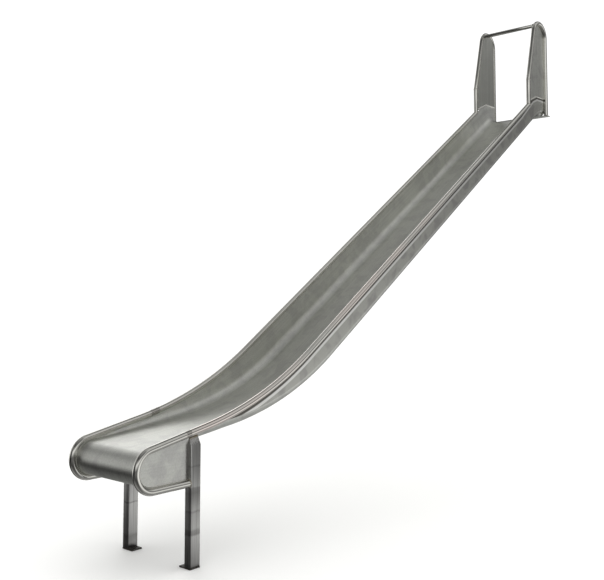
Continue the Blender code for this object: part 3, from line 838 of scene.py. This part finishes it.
# Stainless steel box section, drawn and left as rolled: upright draw lines, dull, with stained bands across
# it and dark feet where soil and wet paving reached.
rolledLeg = {
    "dark": "#A09F9D", "light": "#D0D0CD", "tone": {"From Min": 0.35, "From Max": 0.65}, "stain": "#4A4845",
    "line": (0.004, 0.004, 0.5),    # draw lines, drawn coarser than the real 0.5 mm
    "raggedness": 0.012, "raggedPerMetre": 60.0, "roughness": (0.26, 0.40), "stretch": 0.6,
    "relief": {"Strength": 0.3, "Distance": 0.0005}, "span": 0.66,
    "stains": {    # height above the feet and how stained the steel is there
        "right": [(0.00, 0.80), (0.03, 0.35), (0.10, 0.25), (0.165, 0.15), (0.175, 0.60), (0.195, 0.50), (0.205, 0.20),
                  (0.28, 0.30), (0.29, 0.55), (0.30, 0.25), (0.345, 0.45), (0.378, 0.55), (0.385, 0.60), (0.41, 0.45),
                  (0.418, 0.00), (0.44, 0.02), (0.515, 0.10), (0.52, 0.35), (0.53, 0.05), (0.66, 0.10)],
        "left": [(0.00, 0.80), (0.04, 0.40), (0.075, 0.55), (0.09, 0.30), (0.17, 0.20), (0.25, 0.05), (0.256, 0.60),
                 (0.262, 0.10), (0.32, 0.00), (0.45, 0.10), (0.66, 0.20)],
    },
}


def makeRolledLeg(side):
    look = rolledLeg
    material, tree, place = newMaterial("stainless_leg_rolled_" + side, look, across=True)
    drawn = addNode(tree, "VectorMath", {0: place, 1: look["line"]}, operation="DIVIDE")
    streak = addNode(tree, "TexNoise", {0: drawn, "Scale": 1.0, "Detail": 3.0})
    tone = addNode(tree, "MapRange", {0: streak, **look["tone"]})
    base = addNode(tree, "Mix", {0: tone, 6: look["dark"], 7: look["light"]}, data_type="RGBA")
    height = addNode(tree, "SeparateXYZ", {0: place}).outputs["Z"]
    uneven = addNode(tree, "TexNoise", {0: place, "Scale": look["raggedPerMetre"], "Detail": 2.0})
    height = addNode(tree, "Math", {0: uneven, 1: look["raggedness"], 2: height}, operation="MULTIPLY_ADD")
    foot = lines["footZ"] + look["raggedness"] / 2
    height = addNode(tree, "MapRange", {0: height, "From Min": foot, "From Max": foot + look["span"]})
    stops = [(up / look["span"], shade) for up, shade in look["stains"][side]]
    stain = addNode(tree, "ValToRGB", {0: height}, stops=stops)
    colour = addNode(tree, "Mix", {0: stain, 6: base, 7: look["stain"]}, data_type="RGBA")
    bump = addNode(tree, "Bump", {"Height": streak, **look["relief"]})
    return finishMetal(material, look, colour, bump, streak)


# Hot-rolled stainless plate, long underground: dull brown-black scale and soil, worn to grey on the edges.
soiledPlate = {"scale": "#3A3733", "worn": "#6F6C67", "wear": {"From Min": 0.45, "From Max": 0.65}, "grit": 0.004,
               "roughness": 0.55, "metallic": 0.8, "relief": {"Strength": 0.5, "Distance": 0.0006}}


def makeSoiledPlate():
    look = soiledPlate
    material, tree, place = newMaterial("stainless_plate_soiled", look)
    grit = addNode(tree, "TexNoise", {0: place, "Scale": 1 / look["grit"], "Detail": 4.0})
    worn = addNode(tree, "MapRange", {0: grit, **look["wear"]})
    colour = addNode(tree, "Mix", {0: worn, 6: look["scale"], 7: look["worn"]}, data_type="RGBA")
    bump = addNode(tree, "Bump", {"Height": grit, **look["relief"]})
    return finishMetal(material, look, colour, bump)


# Stainless weld, laid by hand and brushed: small ripples, a little duller and more yellow than the tube.
weldBead = {"pale": "#D2CEC2", "straw": "#B0A48C", "heating": {"From Min": 0.45, "From Max": 0.65}, "tint": 0.04,
            "ripple": 0.003, "roughness": 0.28, "relief": {"Strength": 0.5, "Distance": 0.0012}}


def makeWeldBead():
    look = weldBead
    material, tree, place = newMaterial("stainless_weld_brushed", look)
    ripple = addNode(tree, "TexNoise", {0: place, "Scale": 1 / look["ripple"], "Detail": 2.0})
    heat = addNode(tree, "TexNoise", {0: place, "Scale": 1 / look["tint"], "Detail": 1.0})
    heat = addNode(tree, "MapRange", {0: heat, **look["heating"]})
    colour = addNode(tree, "Mix", {0: heat, 6: look["pale"], 7: look["straw"]}, data_type="RGBA")
    bump = addNode(tree, "Bump", {"Height": ripple, **look["relief"]})
    return finishMetal(material, look, colour, bump)


chuteMaterial = makeBrushedSheet("stainless_chute_brushed", True)
sheetMaterial = makeBrushedSheet("stainless_sheet_brushed", False)
tubeMaterial = makeSatinTube()
plateMaterial = makeSoiledPlate()
weldMaterial = makeWeldBead()
print("materials made")

finishes = {    # kind of piece: its material and the record's slot
    "chute": (chuteMaterial, "brushed_sheet"), "welds": (weldMaterial, "polished_tube"),
    "foot": (plateMaterial, "brushed_leg"), "hook": (sheetMaterial, "brushed_leg"),
}
finishes.update({kind: (sheetMaterial, "brushed_sheet") for kind in ("cheekPlate", "loopPlate")})
finishes.update({kind: (tubeMaterial, "polished_tube") for kind in ("rail", "cheekTube", "bead", "crossbar",
                                                                    "loopWeld")})
for name, piece in pieces.items():
    side, kind = name.split()[0], name.split()[-1]
    material, slot = finishes[kind] if kind != "leg" else (makeRolledLeg(side), "brushed_leg")
    piece.data.materials.clear()
    piece.data.materials.append(material)
    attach(piece, "root")
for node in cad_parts.values():
    node.data.materials.clear()
    node.data.materials.append(sheetMaterial)

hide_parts("start_deck", "bed_crest", "bed_slope", "bed_lower_bend", "bed_runout", "exit_apron",
            "exit_nose", "left_wall_lower", "left_wall_slope", "left_wall_start",
            "right_wall_lower", "right_wall_slope", "right_wall_start")
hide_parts("crossbar")
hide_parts("hook_flange")
for side in ("right", "left"):
    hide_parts(side + "_rail_slope", side + "_rail_bend", side + "_rail_runout",
                side + "_exit_loop", side + "_underside_tube")
    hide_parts(side + "_front_upright", side + "_leaning_tube", side + "_top_bend",
                side + "_rear_upright")
    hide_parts(side + "_cheek_plate")
    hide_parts(side + "_cheek_bead")
    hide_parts(side + "_loop_plate")
    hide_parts(side + "_leg")
    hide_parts(side + "_foot_plate")


# Pale floor, a little below the feet's underside so that the two don't touch
stage = {"drop": 0.0005, "half": 30.0, "colour": "#F6F6F4", "roughness": 0.9}


def makeFloor():
    deselectAll()
    bpy.ops.mesh.primitive_plane_add(size=2 * stage["half"], location=(0, 0, lines["footZ"] - stage["drop"]))
    floor = nameIt("floor")
    material = bpy.data.materials.new("studio_floor")
    material.use_nodes = True
    shader = material.node_tree.nodes["Principled BSDF"]
    shader.inputs["Base Color"].default_value = toLinear(stage["colour"])
    shader.inputs["Roughness"].default_value = stage["roughness"]
    floor.data.materials.append(material)
    floor.visible_glossy = False    # the steel mirrors the studio walls only


makeFloor()


camera = {
    "place": (-7.2137, -3.5606, -1.6772),   # metres, in the slide's own frame
    "yaw": 40.318,    # degrees from +X towards +Y
    "pitch": 3.878,    # degrees above level
    "lens": 48.849, "sensor": 36,    # mm
    "reach": 200,    # metres
    "shift": (-0.0249, -0.0843),
}


def makeCamera():
    data = bpy.data.cameras.new("camera")
    data.lens = camera["lens"]
    data.sensor_width = camera["sensor"]
    data.clip_end = camera["reach"]
    data.shift_x, data.shift_y = camera["shift"]
    view = bpy.data.objects.new("camera", data)
    scene.collection.objects.link(view)
    view.location = camera["place"]
    yaw, pitch = math.radians(camera["yaw"]), math.radians(camera["pitch"])
    view.rotation_euler = (upright + pitch, 0, yaw - upright)
    scene.camera = view


makeCamera()

# Studio walls as the steel mirrors them, as brightness at degrees above level. The camera sees plain white.
studio = {
    "ahead": [(-90, 0.40), (-30, 0.20), (-10, 0.04), (3, 0.05), (12, 0.60), (20, 1.70), (28, 2.45), (38, 1.32),
              (55, 0.26), (90, 0.48)],
    "uphill": [(-90, 0.55), (-30, 0.45), (-10, 0.05), (12, 0.02), (40, 0.03), (60, 0.04), (90, 0.36)],
    "left": [(-90, 0.20), (-35, 0.07), (-25, 0.01), (-16, 0.18), (0, 1.10), (12, 0.80), (30, 0.45), (50, 0.12),
             (90, 0.40)],
    "behind": [(-90, 0.40), (-30, 0.08), (-10, 0.01), (4, 0.02), (20, 0.10), (35, 0.18), (50, 0.05), (90, 0.30)],
    "camera": [(-90, 0.20), (-30, 0.06), (-12, 0.16), (-2, 0.14), (8, 0.60), (20, 1.05), (32, 0.40), (45, 0.08),
               (90, 0.34)],
    "right": [(-90, 0.20), (-30, 0.40), (-15, 1.08), (-5, 0.86), (3, 0.36), (12, 0.15), (20, 0.32), (28, 0.52),
              (38, 0.68), (47, 0.68), (60, 0.50), (90, 0.46)],
    # where one wall gives way to the next: measured towards the camera's right (sideways) or ahead (forward)
    "toUphill": (0.0, 0.22), "toLeft": (-0.2, -0.85), "toBehind": (0.06, -0.08), "toCamera": (-0.62, -0.35),
    "toRight": (0.70, 0.93),
    "sideways": (0.707, -0.707, 0), "forward": (0.707, 0.707, 0), "white": 1.12,
}


def makeWorld():
    world = bpy.data.worlds.new("world")
    scene.world = world
    world.use_nodes = True
    tree = world.node_tree
    plain = tree.nodes["Background"]
    plain.inputs["Color"].default_value = (1, 1, 1, 1)
    plain.inputs["Strength"].default_value = studio["white"]
    heading = addNode(tree, "TexCoord").outputs["Generated"]
    height = addNode(tree, "SeparateXYZ", {0: heading}).outputs["Z"]
    height = addNode(tree, "Math", {0: height, 1: 0.5, 2: 0.5}, operation="MULTIPLY_ADD")
    level = addNode(tree, "VectorMath", {0: heading, 1: (1, 1, 0)}, operation="MULTIPLY")
    level = addNode(tree, "VectorMath", {0: level}, operation="NORMALIZE")
    sideways = addNode(tree, "VectorMath", {0: level, 1: studio["sideways"]}, operation="DOT_PRODUCT")
    forward = addNode(tree, "VectorMath", {0: level, 1: studio["forward"]}, operation="DOT_PRODUCT")
    walls = ("ahead", "uphill", "left", "behind", "camera", "right")
    most = max(shade for side in walls for angle, shade in studio[side])
    wall = {}
    for side in walls:
        stops = [(0.5 + 0.5 * math.sin(math.radians(angle)), shade / most) for angle, shade in studio[side]]
        wall[side] = addNode(tree, "ValToRGB", {0: height}, stops=stops)

    def turnTo(change, heading, fromWall, toWall):
        share = addNode(tree, "MapRange", {0: heading, "From Min": studio[change][0], "From Max": studio[change][1]})
        return addNode(tree, "Mix", {0: share, 6: fromWall, 7: toWall}, data_type="RGBA")

    mixed = turnTo("toUphill", sideways, wall["ahead"], wall["uphill"])
    mixed = turnTo("toLeft", sideways, mixed, wall["left"])
    backs = turnTo("toCamera", sideways, wall["behind"], wall["camera"])
    mixed = turnTo("toBehind", forward, mixed, backs)
    mixed = turnTo("toRight", sideways, mixed, wall["right"])
    mirrored = addNode(tree, "Background", {"Color": mixed, "Strength": most})
    seen = addNode(tree, "LightPath").outputs["Is Camera Ray"]
    both = addNode(tree, "MixShader", {0: seen, 1: mirrored, 2: plain})
    tree.links.new(both.outputs[0], tree.nodes["World Output"].inputs[0])


makeWorld()

floorLight = {"strength": 2.8, "softness": 120}    # watts a square metre, and degrees across


def makeFloorLight():    # wide overhead light that the steel doesn't mirror
    data = bpy.data.lights.new("floor_light", "SUN")
    data.energy = floorLight["strength"]
    data.angle = math.radians(floorLight["softness"])
    lamp = bpy.data.objects.new("floor_light", data)
    scene.collection.objects.link(lamp)
    lamp.visible_glossy = False


makeFloorLight()
scene.view_settings.view_transform = "Standard"
print("studio made")
